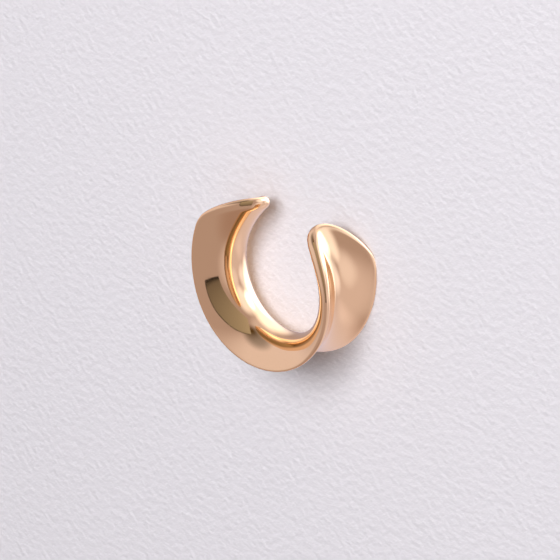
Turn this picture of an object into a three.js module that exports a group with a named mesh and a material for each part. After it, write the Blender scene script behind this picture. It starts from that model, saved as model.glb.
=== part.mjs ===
// An ear cuff in polished gold: one C-shaped band that clips over the edge of an ear.
//
// The band's section is a channel that is open outwards: its throat faces the ring's axis and
// both long rims flare out. Each end is a rounded tongue, cut back on a slant from one rim, and
// the two ends are the same shape, half a turn apart about the line through the gap's middle.
//
// Frame, in millimetres: the cuff lies on its side, its ring's axis along Z, resting on one rim
// at z = 0. The gap faces -Y. A place on the band is an angle from its middle, which is at +Y,
// and a height across it from its mid-plane, upwards.

import * as THREE from 'three';

// Ring
const RING_RADIUS = 4.97; // axis to the middle of the wall, in the throat
const RING_SHIFT = 0.25; // how far the ring's centre lies towards the gap
const END_SPREAD = 0.5; // how far an end opens out, at SPREAD_FULL
const SPREAD_START = 90;
const SPREAD_FULL = 150;
const SPREAD_POWER = 3; // how late in that run the end opens out

// Channel section
const HALF_WIDTH = 2.47; // mid-plane to the centre of a rim's round
const FLARE_RISE = 1.32; // throat to rim, outwards, in the middle of the wall
const END_FLARE = 0.26; // the share by which that rise grows at a tip
const THROAT_LEAN = 0.26; // how far the throat leans to the long edge, at a tip
const FLARE_START = 60; // the angle where the rise and the lean start to grow

// Wall
const THROAT_WALL = 1.5;
const RIM_WALL = 0.295;
const TIP_WALL_SHARE = 0.62; // the tip's wall, as a share of the wall further back
const THINNING_START = 108;
const BEAD_WALL = 0.52; // the long edge's rim swells to this bead on the ring's flank
const BEAD_START = 40;
const BEAD_FULL = 75;
const BEAD_FADE = 110;
const BEAD_END = 145;
const REST_HEIGHT = 2.6; // mid-plane to the flat polished on the rims that the cuff rests on

// Outline of an end, through the centre of the rim's round. It leaves the long edge, goes round
// the tip and comes back on a slant to the corner where the short edge starts.
// angle is in degrees from the band's middle; across is towards the long edge.
const END_OUTLINE = [
  { angle: 90, across: 2.47 },
  { angle: 104, across: 2.44 },
  { angle: 115, across: 2.2 },
  { angle: 126, across: 1.84 },
  { angle: 136, across: 1.46 },
  { angle: 144, across: 1.14 },
  { angle: 149.6, across: 0.78 },
  { angle: 152.4, across: 0.16 },
  { angle: 151.4, across: -0.52 },
  { angle: 147.5, across: -1.04 },
  { angle: 140.5, across: -1.46 },
  { angle: 131.5, across: -1.95 },
  { angle: 124, across: -2.28 },
  { angle: 119, across: -2.43 },
  { angle: 113, across: -2.47 },
];
const TIP_START = 5; // the outline's row where the long edge gives way to the tip
const TIP_ANGLE = 152.5;
const END_SHAPE_POWER = 4; // how late along the half its ribs take up the end's shape

// Facets
const RIBS_PER_HALF = 30; // ribs from the middle of the band to an end
const RIB_POINTS = 13; // points across a rib
const RIM_SEGMENTS = 6; // facets round a rim

const outlineCurve = new THREE.SplineCurve(
  END_OUTLINE.map(({ angle, across }) => new THREE.Vector2(angle, across)),
);
const lastRow = END_OUTLINE.length - 1;
const lerp = THREE.MathUtils.lerp;

/** 0 before start, 1 from end on, and a straight run between them. */
function ramp(value, start, end) {
  return THREE.MathUtils.clamp((value - start) / (end - start), 0, 1);
}

/** The wall at the long edge's rim, at a turn from the band's middle. */
function longRimWall(turn) {
  const { smootherstep } = THREE.MathUtils;
  const bead = smootherstep(turn, BEAD_START, BEAD_FULL) - smootherstep(turn, BEAD_FADE, BEAD_END);
  return lerp(RIM_WALL, BEAD_WALL, bead);
}

/** The place on the end's outline at a row of its table, which may lie between two rows. */
function outlineAt(row) {
  return outlineCurve.getPoint(row / lastRow);
}

/** The long edge, from the band's middle (0) to where the tip starts (1). */
function longEdge(along) {
  const straight = END_OUTLINE[0].angle / END_OUTLINE[TIP_START].angle;
  if (along < straight) {
    return new THREE.Vector2(along * END_OUTLINE[TIP_START].angle, HALF_WIDTH);
  }
  return outlineAt(TIP_START * ramp(along, straight, 1));
}

/** The short edge, from the band's middle (0) to the end's corner (1). */
function shortEdge(along) {
  return new THREE.Vector2(along * END_OUTLINE[lastRow].angle, -HALF_WIDTH);
}

/** The end's edge, from the long edge (0) round the tip to the corner (1). */
function endEdge(part) {
  return outlineAt(lerp(TIP_START, lastRow, part));
}

/**
 * A place on the half of the band whose long edge is the upper one, as (angle, height).
 * Ribs are straight in the middle of the band and take up the end's shape towards it. The long
 * edge sits lower where its rim is a bead, so that the bead is no higher than the rest.
 */
function placeOnHalf(along, part) {
  const rib = longEdge(along).lerp(shortEdge(along), part);
  const chord = endEdge(0).lerp(endEdge(1), part);
  const bulge = endEdge(part).sub(chord);
  rib.addScaledVector(bulge, along ** END_SHAPE_POWER);
  const inset = (longRimWall(rib.x) - RIM_WALL) / 2;
  rib.y -= inset * Math.max(0, rib.y / HALF_WIDTH);
  return rib;
}

/** A place on the whole band: along runs from -1 to 1, part from the upper edge to the lower. */
function placeOnBand(along, part) {
  if (along >= 0) return placeOnHalf(along, part);
  return placeOnHalf(-along, 1 - part).negate();
}

/** The middle of the wall at an angle and height, with z from the mid-plane. */
function wallMiddle(angle, height) {
  const turn = Math.abs(angle);
  const growth = THREE.MathUtils.smootherstep(turn, FLARE_START, TIP_ANGLE);
  const lean = THROAT_LEAN * growth * Math.sign(angle);
  const flare = FLARE_RISE * (1 + END_FLARE * growth) * ((height - lean) / HALF_WIDTH) ** 2;
  const run = Math.max(0, turn - SPREAD_START) / (SPREAD_FULL - SPREAD_START);
  const spread = END_SPREAD * run ** SPREAD_POWER;
  const radians = THREE.MathUtils.degToRad(angle);
  const radius = RING_RADIUS - RING_SHIFT * Math.cos(radians) + spread + flare;
  return new THREE.Vector3(-radius * Math.sin(radians), radius * Math.cos(radians), height);
}

/** The wall's thickness at an angle and height: thick in the throat, thin at the rims. */
function wallThickness(angle, height) {
  const turn = Math.abs(angle);
  const rimWall = angle * height > 0 ? longRimWall(turn) : RIM_WALL;
  const reach = HALF_WIDTH - (rimWall - RIM_WALL) / 2;
  const toRim = Math.min(1, Math.abs(height) / reach) ** 2;
  const thinning = ramp(turn, THINNING_START, TIP_ANGLE) ** 2;
  return lerp(THROAT_WALL, rimWall, toRim) * lerp(1, TIP_WALL_SHARE, thinning);
}

/** The direction square to the wall at an angle and height, pointing out of the ring. */
function wallNormal(angle, height) {
  const step = 0.01;
  const round = wallMiddle(angle + step, height).sub(wallMiddle(angle - step, height));
  const up = wallMiddle(angle, height + step).sub(wallMiddle(angle, height - step));
  return round.cross(up).normalize();
}

/** A grid of wall stations: one row a rib, each with its middle, normal and half thickness. */
function wallStations() {
  const rows = [];
  for (let rib = -RIBS_PER_HALF; rib <= RIBS_PER_HALF; rib += 1) {
    const row = [];
    for (let point = 0; point < RIB_POINTS; point += 1) {
      const place = placeOnBand(rib / RIBS_PER_HALF, point / (RIB_POINTS - 1));
      row.push({
        middle: wallMiddle(place.x, place.y),
        normal: wallNormal(place.x, place.y),
        half: wallThickness(place.x, place.y) / 2,
      });
    }
    rows.push(row);
  }
  return rows;
}

/** The grid's border as [rib, point] pairs, once round, starting at its first corner. */
function borderOf(ribs, points) {
  const border = [];
  for (let rib = 0; rib < ribs - 1; rib += 1) border.push([rib, 0]);
  for (let point = 0; point < points - 1; point += 1) border.push([ribs - 1, point]);
  for (let rib = ribs - 1; rib > 0; rib -= 1) border.push([rib, points - 1]);
  for (let point = points - 1; point > 0; point -= 1) border.push([0, point]);
  return border;
}

/** The closed shell: an inner face, an outer face and a full round along the whole border. */
function buildBand() {
  const stations = wallStations();
  const ribs = stations.length;
  const positions = [];
  const faces = [];

  const addVertex = (place) => {
    const height = THREE.MathUtils.clamp(place.z, -REST_HEIGHT, REST_HEIGHT);
    positions.push(place.x, place.y, height);
    return positions.length / 3 - 1;
  };
  const addQuad = (a, b, c, d) => faces.push(a, b, c, a, c, d);
  const offset = (station, distance) =>
    station.middle.clone().addScaledVector(station.normal, distance);

  const outer = stations.map((row) => row.map((station) => addVertex(offset(station, station.half))));
  const inner = stations.map((row) => row.map((station) => addVertex(offset(station, -station.half))));
  for (let rib = 0; rib < ribs - 1; rib += 1) {
    for (let point = 0; point < RIB_POINTS - 1; point += 1) {
      const next = point + 1;
      addQuad(outer[rib][point], outer[rib][next], outer[rib + 1][next], outer[rib + 1][point]);
      addQuad(inner[rib][point], inner[rib + 1][point], inner[rib + 1][next], inner[rib][next]);
    }
  }

  const border = borderOf(ribs, RIB_POINTS);
  const rounds = border.map(([rib, point], index) => {
    const [nextRib, nextPoint] = border[(index + 1) % border.length];
    const [lastRib, lastPoint] = border[(index + border.length - 1) % border.length];
    const station = stations[rib][point];
    const along = stations[nextRib][nextPoint].middle.clone().sub(stations[lastRib][lastPoint].middle);
    const outwards = station.normal.clone().cross(along).normalize();
    const round = [outer[rib][point]];
    for (let segment = 1; segment < RIM_SEGMENTS; segment += 1) {
      const turn = (Math.PI * segment) / RIM_SEGMENTS;
      const place = offset(station, station.half * Math.cos(turn));
      round.push(addVertex(place.addScaledVector(outwards, station.half * Math.sin(turn))));
    }
    round.push(inner[rib][point]);
    return round;
  });
  rounds.forEach((round, index) => {
    const next = rounds[(index + 1) % rounds.length];
    for (let segment = 0; segment < RIM_SEGMENTS; segment += 1) {
      addQuad(round[segment], next[segment], next[segment + 1], round[segment + 1]);
    }
  });

  const geometry = new THREE.BufferGeometry();
  geometry.setAttribute('position', new THREE.Float32BufferAttribute(positions, 3));
  geometry.setIndex(faces);
  return geometry;
}

/** Stands the geometry on z = 0, with the origin under the middle of its box. */
function standOnFloor(geometry) {
  geometry.computeBoundingBox();
  const { min, max } = geometry.boundingBox;
  geometry.translate(-(min.x + max.x) / 2, -(min.y + max.y) / 2, -min.z);
  geometry.computeVertexNormals();
  return geometry;
}

const gold = new THREE.MeshStandardMaterial({ color: 0xe3b185, roughness: 0.12, metalness: 1 });

const cuffBand = new THREE.Mesh(standOnFloor(buildBand()), gold);
cuffBand.name = 'cuff_band';

const cuff = new THREE.Group();
cuff.add(cuffBand);

export default cuff;
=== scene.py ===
import math

import bmesh
import bpy
from bpy.props import FloatProperty, FloatVectorProperty, IntProperty, PointerProperty
from mathutils import Matrix, Quaternion, Vector


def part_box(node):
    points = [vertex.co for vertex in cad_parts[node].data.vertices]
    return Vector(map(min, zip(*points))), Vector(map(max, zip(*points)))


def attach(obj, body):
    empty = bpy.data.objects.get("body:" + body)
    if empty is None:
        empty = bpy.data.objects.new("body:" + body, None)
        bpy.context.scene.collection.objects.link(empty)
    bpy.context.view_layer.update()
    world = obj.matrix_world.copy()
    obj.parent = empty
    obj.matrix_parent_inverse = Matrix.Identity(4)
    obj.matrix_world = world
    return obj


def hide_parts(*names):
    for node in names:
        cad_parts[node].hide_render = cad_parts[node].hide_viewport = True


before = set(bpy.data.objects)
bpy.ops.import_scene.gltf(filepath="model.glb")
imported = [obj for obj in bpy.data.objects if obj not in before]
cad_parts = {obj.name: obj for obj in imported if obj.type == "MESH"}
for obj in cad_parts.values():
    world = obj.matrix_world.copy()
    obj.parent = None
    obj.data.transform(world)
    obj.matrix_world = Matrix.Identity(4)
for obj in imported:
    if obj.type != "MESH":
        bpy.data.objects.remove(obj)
BAND_NODE = "cuff_band"
BODY = "root"

bl_info = {
    "name": "Gold Ear Cuff",
    "version": (1, 0, 0),
    "blender": (4, 5, 0),
    "location": "3D View > Sidebar > Ear Cuff",
    "description": "Models a channel-section ear cuff in polished gold, on a pale studio floor",
    "category": "Add Mesh",
}

# Outline of one end, through the centre of the rim's round. It leaves the long edge, goes
# round the tip and comes back on a slant to the corner where the short edge starts.
# Each row: degrees from the middle of the band, metres towards the long edge.
END_OUTLINE = (
    (90.0, 0.00247),
    (104.0, 0.00244),
    (115.0, 0.00220),
    (126.0, 0.00184),
    (136.0, 0.00146),
    (144.0, 0.00114),
    (149.6, 0.00078),
    (152.4, 0.00016),
    (151.4, -0.00052),
    (147.5, -0.00104),
    (140.5, -0.00146),
    (131.5, -0.00195),
    (124.0, -0.00228),
    (119.0, -0.00243),
    (113.0, -0.00247),
)
TIP_START = 5  # the outline's row where the long edge gives way to the tip

# Degrees from the middle of the band where each change towards an end starts or is complete
FLARE_START = 60.0
SPREAD_START = 90.0
SPREAD_FULL = 150.0
THINNING_START = 108.0
TIP_ANGLE = 152.5
BEAD_START = 40.0
BEAD_FULL = 75.0
BEAD_FADE = 110.0
BEAD_END = 145.0
SPREAD_POWER = 3  # how late in its run the end opens out
END_SHAPE_POWER = 4  # how late along the half its ribs take up the end's shape

# Modelling
CROWDING = 0.6  # how strongly the ribs and their points are drawn towards the rims
RIM_CUTS = 3  # edges added between the outer and the inner face, round a rim
SMOOTHING_LEVELS = 3
MERGE_DISTANCE = 1e-6
ROW_DIGITS = 7  # decimal places of a metre that tell the grid's rows apart

# Finishes
HAIRLINE_START = 0.58  # the noise's value where a hairline starts to show
HAIRLINE_FULL = 0.74
WAVE_HEIGHT = 0.0002
GRAIN_HEIGHT = 0.0003
FLOOR_ROUGHNESS = 0.75


# ---------------------------------------------------------------------------
# Sizes and finishes that a user can change
# ---------------------------------------------------------------------------

def length(name, description, default):
    """A length property in metres."""
    return FloatProperty(name=name, description=description, default=default, min=0.0,
                         precision=5, unit="LENGTH", subtype="DISTANCE")


def share(name, description, default):
    """A property from nought to one."""
    return FloatProperty(name=name, description=description, default=default, min=0.0, max=1.0,
                         subtype="FACTOR")


def colour(name, description, default):
    """A linear colour property."""
    return FloatVectorProperty(name=name, description=description, default=default, size=3,
                               min=0.0, max=1.0, subtype="COLOR")


def number(name, description, default):
    """A plain number property."""
    return FloatProperty(name=name, description=description, default=default, precision=4)


def turn_angle(name, description, degrees):
    """An angle property, given in degrees."""
    return FloatProperty(name=name, description=description, default=math.radians(degrees),
                         subtype="ANGLE")


class CuffSizes(bpy.types.PropertyGroup):
    """Sizes of the band."""

    ring_radius: length("Ring radius", "Ring's axis to the middle of the wall, in the throat", 0.00497)
    ring_shift: length("Ring shift", "How far the ring's centre lies towards the gap", 0.00025)
    end_spread: length("End spread", "How far each end opens out", 0.0005)
    half_width: length("Half width", "Mid-plane to the centre of a rim's round", 0.00247)
    flare_rise: length("Flare", "How far the rims stand out from the throat", 0.00132)
    end_flare: share("End flare", "Share by which the flare grows at a tip", 0.26)
    throat_lean: length("Throat lean", "How far the throat leans to the long edge at a tip", 0.00026)
    throat_wall: length("Throat wall", "Wall in the throat", 0.0015)
    rim_wall: length("Rim wall", "Wall at the rims", 0.000295)
    bead_wall: length("Bead wall", "Wall of the long edge's bead, on the ring's flank", 0.00052)
    tip_wall: share("Tip wall", "The tip's wall, as a share of the wall further back", 0.62)
    ribs: IntProperty(name="Ribs", description="Ribs from the middle of the band to an end",
                      default=22, min=8, max=40)
    rib_points: IntProperty(name="Rib points", description="Points across a rib", default=11,
                            min=7, max=21)


# ---------------------------------------------------------------------------
# The band's form
# ---------------------------------------------------------------------------

def lerp(low, high, part):
    """The value at a part of the way from low to high."""
    return low + (high - low) * part


def ramp(value, start, end):
    """0 before start, 1 from end on, and a straight run between them."""
    return min(1.0, max(0.0, (value - start) / (end - start)))


def smoother(part):
    """Eases a part from nought to one, with no sudden change of curvature."""
    return part ** 3 * (part * (6 * part - 15) + 10)


def outline_at(row):
    """The (angle, across) place at a row of the end's outline, which may lie between two rows."""
    last = len(END_OUTLINE) - 1
    first = min(int(row), last - 1)
    part = row - first
    before, start, end, after = (
        Vector(END_OUTLINE[min(max(first + step, 0), last)]) for step in (-1, 0, 1, 2)
    )
    leave, arrive = (end - before) / 2, (after - start) / 2
    return (
        (2 * start - 2 * end + leave + arrive) * part ** 3
        + (3 * end - 3 * start - 2 * leave - arrive) * part ** 2
        + leave * part
        + start
    )


def long_rim_wall(sizes, turn):
    """The wall at the long edge's rim, at a turn from the band's middle."""
    bead = smoother(ramp(turn, BEAD_START, BEAD_FULL)) - smoother(ramp(turn, BEAD_FADE, BEAD_END))
    return lerp(sizes.rim_wall, sizes.bead_wall, bead)


def place_on_half(sizes, along, part):
    """(angle, height) on the half whose long edge is the upper one.

    The long edge sits lower where its rim is a bead, so that the bead is no higher than the rest.
    """
    last = len(END_OUTLINE) - 1
    tip_angle = END_OUTLINE[TIP_START][0]
    straight = END_OUTLINE[0][0] / tip_angle
    if along < straight:
        upper = Vector((along * tip_angle, sizes.half_width))
    else:
        upper = outline_at(TIP_START * ramp(along, straight, 1.0))
    lower = Vector((along * END_OUTLINE[last][0], -sizes.half_width))
    chord = outline_at(TIP_START).lerp(outline_at(last), part)
    bulge = outline_at(lerp(TIP_START, last, part)) - chord
    place = upper.lerp(lower, part) + bulge * along ** END_SHAPE_POWER
    inset = (long_rim_wall(sizes, place.x) - sizes.rim_wall) / 2
    place.y -= inset * max(0.0, place.y / sizes.half_width)
    return place


def wall_middle(sizes, angle, height, centre):
    """The middle of the wall at an angle and a height from the mid-plane."""
    turn = abs(angle)
    growth = smoother(ramp(turn, FLARE_START, TIP_ANGLE))
    lean = math.copysign(sizes.throat_lean * growth, angle)
    rise = sizes.flare_rise * (1 + sizes.end_flare * growth)
    flare = rise * ((height - lean) / sizes.half_width) ** 2
    run = max(0.0, turn - SPREAD_START) / (SPREAD_FULL - SPREAD_START)
    spread = sizes.end_spread * run ** SPREAD_POWER
    turned = math.radians(angle)
    radius = sizes.ring_radius - sizes.ring_shift * math.cos(turned) + spread + flare
    return centre + Vector((-radius * math.sin(turned), radius * math.cos(turned), height))


def wall_half(sizes, angle, height):
    """Half the wall's thickness at an angle and height."""
    turn = abs(angle)
    rim_wall = long_rim_wall(sizes, turn) if angle * height > 0 else sizes.rim_wall
    reach = sizes.half_width - (rim_wall - sizes.rim_wall) / 2
    to_rim = min(1.0, abs(height) / reach) ** 2
    thinning = ramp(turn, THINNING_START, TIP_ANGLE) ** 2
    wall = lerp(sizes.throat_wall, rim_wall, to_rim) * lerp(1.0, sizes.tip_wall, thinning)
    return wall / 2


def wall_normal(sizes, angle, height):
    """The direction square to the wall, pointing out of the ring."""
    turn, rise = 0.01, 1e-6

    def middle(angle, height):
        return wall_middle(sizes, angle, height, Vector())

    round_ring = middle(angle + turn, height) - middle(angle - turn, height)
    up = middle(angle, height + rise) - middle(angle, height - rise)
    return round_ring.cross(up).normalized()


# ---------------------------------------------------------------------------
# Modelling helpers
# ---------------------------------------------------------------------------

def crowded(part):
    """Evenly spaced parts from 0 to 1, drawn towards both ends."""
    return part - CROWDING * math.sin(2 * math.pi * part) / (2 * math.pi)


def crowded_at_end(part):
    """Evenly spaced parts from 0 to 1, drawn towards 1."""
    return part + CROWDING * math.sin(math.pi * part) / math.pi


def move_vertices(edit_mesh, vertices, offset):
    """Moves these vertices, and nothing else, by an offset."""
    bpy.ops.mesh.select_all(action="DESELECT")
    for vertex in vertices:
        vertex.select_set(True)
    bmesh.update_edit_mesh(edit_mesh)
    bpy.ops.transform.translate(value=offset)


def add_half_sheet(sizes, name, side, centre):
    """Half of one face of the wall, from the band's middle to an end.

    A flat grid is laid out and its points are pulled, rib by rib, onto the wall's outer face
    (side 1) or inner face (side -1).
    """
    bpy.ops.object.select_all(action="DESELECT")
    bpy.ops.mesh.primitive_grid_add(
        x_subdivisions=sizes.rib_points - 1,
        y_subdivisions=sizes.ribs,
        size=2 * sizes.half_width,
        location=centre,
    )
    sheet = bpy.context.object
    sheet.name = name
    bpy.ops.object.transform_apply(location=True)
    bpy.ops.object.mode_set(mode="EDIT")
    bpy.ops.mesh.select_mode(type="VERT")
    edit_mesh = sheet.data
    grid = bmesh.from_edit_mesh(edit_mesh)
    grid.verts.ensure_lookup_table()
    points = sorted(grid.verts, key=lambda vertex: (round(vertex.co.y, ROW_DIGITS), vertex.co.x))
    for index, vertex in enumerate(points):
        rib, point = divmod(index, sizes.rib_points)
        along = crowded_at_end(rib / sizes.ribs)
        part = crowded(point / (sizes.rib_points - 1))
        angle, height = place_on_half(sizes, along, part)
        place = wall_middle(sizes, angle, height, centre)
        place += wall_normal(sizes, angle, height) * wall_half(sizes, angle, height) * side
        move_vertices(edit_mesh, [vertex], place - vertex.co)
    bpy.ops.object.mode_set(mode="OBJECT")
    return sheet


def mirror_by_half_turn(sheet, centre):
    """Adds the other half of a sheet: a copy turned half a turn about the gap's middle line."""
    bpy.ops.object.mode_set(mode="EDIT")
    bpy.ops.mesh.select_all(action="SELECT")
    bpy.ops.mesh.duplicate()
    bpy.ops.transform.rotate(value=math.pi, orient_axis="Y", center_override=centre)
    bpy.ops.mesh.select_all(action="SELECT")
    bpy.ops.mesh.remove_doubles(threshold=MERGE_DISTANCE)
    bpy.ops.object.mode_set(mode="OBJECT")


def roll_rims(band):
    """Joins the inner and outer faces along their whole border with a full round."""
    bpy.ops.object.mode_set(mode="EDIT")
    bpy.ops.mesh.select_mode(type="EDGE")
    bpy.ops.mesh.select_all(action="DESELECT")
    mesh = bmesh.from_edit_mesh(band.data)
    for edge in mesh.edges:
        edge.select_set(edge.is_boundary)
    bmesh.update_edit_mesh(band.data)
    bpy.ops.mesh.bridge_edge_loops(number_cuts=RIM_CUTS, interpolation="SURFACE", smoothness=1.0)
    bpy.ops.mesh.select_all(action="SELECT")
    bpy.ops.mesh.normals_make_consistent(inside=False)
    bpy.ops.object.mode_set(mode="OBJECT")


def smooth_band(band):
    """Rounds the cage into the finished surface."""
    bpy.ops.object.select_all(action="DESELECT")
    band.select_set(True)
    bpy.context.view_layer.objects.active = band
    smoothing = band.modifiers.new("smoothing", "SUBSURF")
    smoothing.levels = SMOOTHING_LEVELS
    smoothing.render_levels = SMOOTHING_LEVELS
    bpy.ops.object.modifier_apply(modifier=smoothing.name)
    bpy.ops.object.shade_smooth()


# ---------------------------------------------------------------------------
# Materials
# ---------------------------------------------------------------------------

class Socket:
    """A shader value that Python expressions work on: each operator adds a Math node."""

    def __init__(self, shader, output):
        self.shader = shader
        self.output = output

    def _math(self, operation, *values):
        return self.shader.node("Math", {"operation": operation}, dict(enumerate(values)))

    def __add__(self, other):
        return self._math("ADD", self, other)

    def __radd__(self, other):
        return self._math("ADD", other, self)

    def __mul__(self, other):
        return self._math("MULTIPLY", self, other)

    def __rmul__(self, other):
        return self._math("MULTIPLY", other, self)


class NodeTree:
    """A node tree whose nodes are added by one method."""

    def __init__(self, tree):
        self.tree = tree
        self.tree.nodes.clear()

    def feed(self, socket, value):
        """Links a Socket, or sets a plain value."""
        if isinstance(value, Socket):
            self.tree.links.new(value.output, socket)
        else:
            socket.default_value = value

    def node(self, kind, settings=None, values=None, output=0):
        """Adds a node of this kind, sets it up, feeds its sockets and returns one output."""
        made = self.tree.nodes.new("ShaderNode" + kind)
        for name, value in (settings or {}).items():
            setattr(made, name, value)
        for name, value in (values or {}).items():
            self.feed(made.inputs[name], value)
        return Socket(self, made.outputs[output])


class Finish(NodeTree):
    """A material with one main surface shader."""

    def __init__(self, name):
        self.material = bpy.data.materials.new(name)
        self.material.use_nodes = True
        super().__init__(self.material.node_tree)

    def surface(self, **values):
        """Adds the surface shader, with its sockets named with underscores for spaces."""
        values = {name.replace("_", " "): value for name, value in values.items()}
        shader = self.node("BsdfPrincipled", values=values)
        self.node_output(shader)
        return self.material

    def glow(self, tint, strength):
        """Adds a plain glow in place of a lit surface."""
        self.node_output(self.node("Emission", values={"Color": tint, "Strength": strength}))
        return self.material

    def node_output(self, shader):
        """Links a shader to the material's output."""
        output = self.tree.nodes.new("ShaderNodeOutputMaterial")
        self.tree.links.new(shader.output, output.inputs["Surface"])


def mix_colours(tree, part, first, second):
    """A colour that goes from the first to the second."""
    values = {"Factor": part, "A": (*first, 1.0), "B": (*second, 1.0)}
    return tree.node("Mix", {"data_type": "RGBA"}, values, output="Result")


def smooth_run(tree, value, start, end, low=0.0, high=1.0):
    """Goes smoothly from low to high as the value goes from start to end."""
    values = {"Value": value, "From Min": start, "From Max": end, "To Min": low, "To Max": high}
    return tree.node("MapRange", {"interpolation_type": "SMOOTHSTEP"}, values)


def gold_material(finish):
    """Polished gold: a near mirror with handling haze, hairlines and an uneven hand polish."""
    gold = Finish("polished_gold")
    place = gold.node("TexCoord", output="Object")
    haze = gold.node("TexNoise", values={"Vector": place, "Scale": finish.haze_scale, "Detail": 3.0})
    drawn_out = gold.node("Mapping", values={"Vector": place, "Scale": (1.0, 1.0, finish.hair_stretch)})
    hairs = gold.node("TexNoise", values={"Vector": drawn_out, "Scale": finish.hair_scale, "Detail": 2.0})
    hairlines = smooth_run(gold, hairs, HAIRLINE_START, HAIRLINE_FULL, high=finish.hair_depth)
    waves = gold.node("TexNoise", values={"Vector": place, "Scale": finish.wave_scale, "Detail": 1.0})
    polish = gold.node("Bump", values={
        "Height": waves, "Strength": finish.wave_strength, "Distance": WAVE_HEIGHT})
    return gold.surface(
        Base_Color=mix_colours(gold, haze * finish.haze_tint, finish.gold, finish.gold_deep),
        Metallic=1.0,
        Roughness=haze * finish.haze + hairlines + finish.polish,
        Normal=polish,
    )


def floor_material(finish):
    """A matt floor with a fine leathery grain."""
    floor = Finish("floor")
    place = floor.node("TexCoord", output="Object")
    grain = floor.node("TexNoise", values={"Vector": place, "Scale": finish.grain_scale, "Detail": 3.0})
    bump = floor.node("Bump", values={
        "Height": grain, "Strength": finish.grain_strength, "Distance": GRAIN_HEIGHT})
    return floor.surface(Base_Color=(*finish.floor, 1.0), Roughness=FLOOR_ROUGHNESS, Normal=bump)


def card_material(finish):
    """A card with a painted glow: it gives off its own light instead of being lit, dimmer at a border on
    two sides and paler towards the third.
    """
    card = Finish("glowing_card")
    place = card.node("TexCoord", output="Generated")
    across = card.node("SeparateXYZ", values={"Vector": place}, output="X")
    up = card.node("SeparateXYZ", values={"Vector": place}, output="Y")
    side = smooth_run(card, across, *CARD_SIDE_BORDER, low=CARD_SIDE_GLOW)
    top = smooth_run(card, up, *CARD_TOP_BORDER, low=CARD_TOP_GLOW)
    # Painted glow: the card's brightness, its paler side and its dim borders are emitted, not lit by the
    # lamps.
    return card.glow(mix_colours(card, across, finish.card, finish.pale_card_glow), side * top)


class CuffFinish(bpy.types.PropertyGroup):
    """Colours, polish and grain."""

    gold: colour("Gold", "Colour of the gold", (0.91, 0.66, 0.40))
    gold_deep: colour("Deep gold", "Colour of the gold where it is least clean", (0.88, 0.62, 0.36))
    polish: share("Polish", "Roughness of the polished surface", 0.045)
    haze: share("Haze", "Roughness that handling adds at most", 0.05)
    haze_tint: share("Haze tint", "Share of the deep gold where the haze is thickest", 0.35)
    haze_scale: number("Haze scale", "Patches of haze in a metre", 420.0)
    hair_scale: number("Hairline scale", "Hairlines in a metre", 1600.0)
    hair_stretch: number("Hairline stretch", "How many times a hairline is longer than it is wide", 14.0)
    hair_depth: share("Hairline depth", "Roughness that hairlines add at most", 0.06)
    wave_scale: number("Wave scale", "Waves of the hand polish in a metre", 380.0)
    wave_strength: share("Waves", "Strength of the hand polish's waves", 0.06)
    floor: colour("Floor", "Colour of the floor", (0.80, 0.775, 0.83))
    grain_scale: number("Grain scale", "Grains of the floor in a metre", 1900.0)
    grain_strength: share("Grain", "Strength of the floor's grain", 0.5)
    # The card's two colours are those of its painted glow, which it gives off by itself rather than
    # taking from the lamps.
    card: colour("Card", "Colour of the dark card", (0.15, 0.12, 0.10))
    pale_card_glow: colour("Pale card", "Colour of the dark card at its paler side", (0.48, 0.42, 0.34))


class StudioSettings(bpy.types.PropertyGroup):
    """The camera and the floor."""

    azimuth: turn_angle("Azimuth", "Camera's turn round the cuff from the gap's side", -50.84)
    elevation: turn_angle("Elevation", "Camera's height above the floor", 44.34)
    roll: turn_angle("Roll", "Camera's turn about its own line of sight", -113.4)
    distance: length("Distance", "Camera to the middle of the ring", 0.2787)
    lens: number("Lens", "Focal length in millimetres", 249.3)
    shift: number("Shift", "Sideways shift of the lens", -0.0033)
    floor_size: length("Floor size", "Width of the floor", 1.6)


# A place in the surroundings is an azimuth and an elevation in degrees, seen from the cuff.
# Azimuth 0 is towards the gap, -Y, and azimuth 90 towards +X.

SKY_COLOUR = (0.49, 0.39, 0.41)

# Soft places in the surroundings: azimuth and elevation of the middle, the angles from there
# where the place is full and where it ends, and the light that it adds or takes away.
SKY_GLOWS = (
    (0.0, -90.0, 12.0, 28.0, (1.20, 1.20, 1.30)),
    (25.0, -66.0, 15.0, 46.0, (1.30, 1.30, 1.40)),
    (-33.0, -50.0, 5.0, 18.0, (1.40, 1.40, 1.60)),
    (-37.0, -30.0, 6.0, 30.0, (0.75, 0.80, 0.95)),
    (-78.0, -14.0, 5.0, 28.0, (0.20, 0.22, 0.27)),
    (20.0, -18.0, 10.0, 32.0, (0.25, 0.25, 0.30)),
    (65.0, 25.0, 25.0, 60.0, (0.35, 0.35, 0.43)),
    (-100.0, -22.0, 22.0, 55.0, (0.26, 0.25, 0.31)),
    (-175.0, -40.0, 15.0, 45.0, (0.30, 0.28, 0.34)),
    (25.0, 14.0, 8.0, 30.0, (-0.48, -0.42, -0.50)),
    (-65.0, -45.0, 3.0, 18.0, (-0.15, -0.14, -0.16)),
    (-80.0, -63.0, 6.0, 24.0, (0.50, 0.55, 0.70)),
    (-165.0, 8.0, 4.0, 35.0, (-0.08, -0.10, -0.13)),
)

# Softboxes over the floor: name, azimuth, elevation, distance, width and power in watts
SOFTBOXES = (
    ("key", -22.0, 57.0, 0.5, 0.3, 2.8),
    ("fill", -60.0, 75.0, 0.8, 1.2, 3.0),
)

# The glowing card, whose glow is painted light: azimuth and elevation of its middle, distance, width,
# height and tilt
CARD_PLACE = (-35.0, 38.0)
CARD_DISTANCE = 0.5
CARD_SIZE = (0.95, 0.43)
CARD_TILT = -31.0

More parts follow.
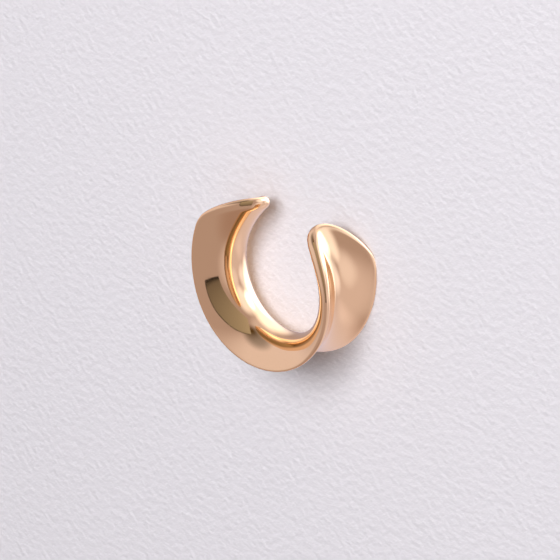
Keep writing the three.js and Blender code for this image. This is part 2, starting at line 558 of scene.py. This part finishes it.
# Each border of the card, where its painted glow is dimmer: where it is darkest and where it ends, as
# parts of the card's width or height, and the share of the card's glow that it keeps where it is darkest
CARD_SIDE_BORDER = (0.01, 0.12)
CARD_SIDE_GLOW = 0.15
CARD_TOP_BORDER = (0.985, 0.93)
CARD_TOP_GLOW = 0.3


# ---------------------------------------------------------------------------
# Operators
# ---------------------------------------------------------------------------

def facing(direction):
    """The rotation that turns an object's -Z along this direction."""
    return direction.to_track_quat("-Z", "Y")


def from_sky(azimuth, elevation):
    """The unit vector towards a place in the surroundings, in degrees."""
    turn, rise = math.radians(azimuth), math.radians(elevation)
    return Vector((math.sin(turn) * math.cos(rise), -math.cos(turn) * math.cos(rise), math.sin(rise)))


def add_camera(context, middle):
    """The camera, on a long lens."""
    studio = context.scene.cuff_studio
    back = from_sky(math.degrees(studio.azimuth), math.degrees(studio.elevation))
    lens = bpy.data.cameras.new("camera")
    lens.lens = studio.lens
    lens.shift_x = studio.shift
    camera = bpy.data.objects.new("camera", lens)
    context.collection.objects.link(camera)
    camera.location = middle + back * studio.distance
    camera.rotation_mode = "QUATERNION"
    camera.rotation_quaternion = facing(-back) @ Quaternion((0, 0, 1), studio.roll)
    context.scene.camera = camera


def add_plane(name, size, material):
    """A square plane of the stage."""
    bpy.ops.object.select_all(action="DESELECT")
    bpy.ops.mesh.primitive_plane_add(size=size, location=(0, 0, 0))
    plane = bpy.context.object
    plane.name = name
    plane.data.materials.append(material)
    return plane


def add_sky(context):
    """Soft surroundings for the gold to mirror. They don't light the floor."""
    world = bpy.data.worlds.new("studio")
    world.use_nodes = True
    world.cycles_visibility.diffuse = False
    sky = NodeTree(world.node_tree)
    towards = sky.node("TexCoord", output="Generated")
    total = SKY_COLOUR
    for azimuth, elevation, full, end, added in SKY_GLOWS:
        vectors = {0: towards, 1: tuple(from_sky(azimuth, elevation))}
        near = sky.node("VectorMath", {"operation": "DOT_PRODUCT"}, vectors, output="Value")
        soft = smooth_run(sky, near, math.cos(math.radians(end)), math.cos(math.radians(full)))
        total = sky.node("VectorMath", {"operation": "MULTIPLY_ADD"}, {0: soft, 1: added, 2: total})
    background = sky.node("Background", values={"Color": total})
    output = sky.tree.nodes.new("ShaderNodeOutputWorld")
    sky.tree.links.new(background.output, output.inputs["Surface"])
    context.scene.world = world


def add_softboxes(context, middle):
    """Square soft lights that face the cuff. The gold doesn't mirror them."""
    for name, azimuth, elevation, distance, width, power in SOFTBOXES:
        light = bpy.data.lights.new(name, "AREA")
        light.shape = "SQUARE"
        light.size = width
        light.energy = power
        lamp = bpy.data.objects.new(name, light)
        context.collection.objects.link(lamp)
        towards = from_sky(azimuth, elevation)
        lamp.location = middle + towards * distance
        lamp.rotation_mode = "QUATERNION"
        lamp.rotation_quaternion = facing(-towards)
        lamp.visible_glossy = False


def add_card(middle, material):
    """The card that the gold mirrors, which shines by a painted glow rather than by the lamps. It faces
    the cuff from the camera's side.
    """
    card = add_plane("glowing_card", 1.0, material)
    towards = from_sky(*CARD_PLACE)
    turn = facing(-towards) @ Quaternion((0, 0, 1), math.radians(CARD_TILT))
    place = Matrix.Translation(middle + towards * CARD_DISTANCE)
    card.matrix_world = place @ turn.to_matrix().to_4x4() @ Matrix.Diagonal((*CARD_SIZE, 1, 1))


class CUFF_OT_stage(bpy.types.Operator):
    """Adds the camera, the floor, the surroundings, the lights and the card whose glow is painted light.
    """

    bl_idname = "cuff.stage"
    bl_label = "Studio"

    def execute(self, context):
        finish = context.scene.cuff_finish
        middle = ring_centre(context.scene.cuff_sizes)
        context.scene.view_settings.view_transform = "Standard"
        add_camera(context, middle)
        floor = add_plane("floor", context.scene.cuff_studio.floor_size, floor_material(finish))
        floor.visible_glossy = False
        add_sky(context)
        add_softboxes(context, middle)
        add_card(middle, card_material(finish))
        return {"FINISHED"}


def ring_centre(sizes):
    """The point on the ring's axis at mid height, found from the frame's box."""
    low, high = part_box(BAND_NODE)
    reach = sizes.ring_radius - sizes.ring_shift + sizes.flare_rise + sizes.rim_wall / 2
    return Vector(((low.x + high.x) / 2, high.y - reach, (low.z + high.z) / 2))


class CUFF_OT_band(bpy.types.Operator):
    """Models the gold band as one smooth closed shell."""

    bl_idname = "cuff.band"
    bl_label = "Gold band"

    def execute(self, context):
        sizes = context.scene.cuff_sizes
        centre = ring_centre(sizes)
        sheets = []
        for name, side in (("band_surface", 1), ("inner_face", -1)):
            sheet = add_half_sheet(sizes, name, side, centre)
            mirror_by_half_turn(sheet, centre)
            sheets.append(sheet)
        bpy.ops.object.select_all(action="DESELECT")
        for sheet in sheets:
            sheet.select_set(True)
        band = sheets[0]
        context.view_layer.objects.active = band
        bpy.ops.object.join()
        roll_rims(band)
        smooth_band(band)
        shell = bmesh.new()
        shell.from_mesh(band.data)
        closed = all(edge.is_manifold for edge in shell.edges)
        shell.free()
        if not closed:
            raise RuntimeError("the band isn't one closed shell")
        band.data.materials.append(gold_material(context.scene.cuff_finish))
        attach(band, BODY)
        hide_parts(BAND_NODE)
        return {"FINISHED"}


class CUFF_PT_sidebar(bpy.types.Panel):
    """Lists the cuff's sizes, finishes and steps."""

    bl_label = "Ear Cuff"
    bl_idname = "CUFF_PT_sidebar"
    bl_space_type = "VIEW_3D"
    bl_region_type = "UI"
    bl_category = "Ear Cuff"

    def draw(self, context):
        for group in (context.scene.cuff_sizes, context.scene.cuff_finish, context.scene.cuff_studio):
            box = self.layout.box()
            for name in group.__annotations__:
                box.prop(group, name)
        for operator in (CUFF_OT_stage, CUFF_OT_band):
            self.layout.operator(operator.bl_idname)


CLASSES = (CuffSizes, CuffFinish, StudioSettings, CUFF_OT_stage, CUFF_OT_band, CUFF_PT_sidebar)


def register():
    for made in CLASSES:
        bpy.utils.register_class(made)
    bpy.types.Scene.cuff_sizes = PointerProperty(type=CuffSizes)
    bpy.types.Scene.cuff_finish = PointerProperty(type=CuffFinish)
    bpy.types.Scene.cuff_studio = PointerProperty(type=StudioSettings)


def unregister():
    del bpy.types.Scene.cuff_studio
    del bpy.types.Scene.cuff_finish
    del bpy.types.Scene.cuff_sizes
    for made in reversed(CLASSES):
        bpy.utils.unregister_class(made)


def main():
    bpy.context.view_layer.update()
    register()
    bpy.ops.cuff.stage()
    bpy.ops.cuff.band()


if __name__ == "__main__":
    main()
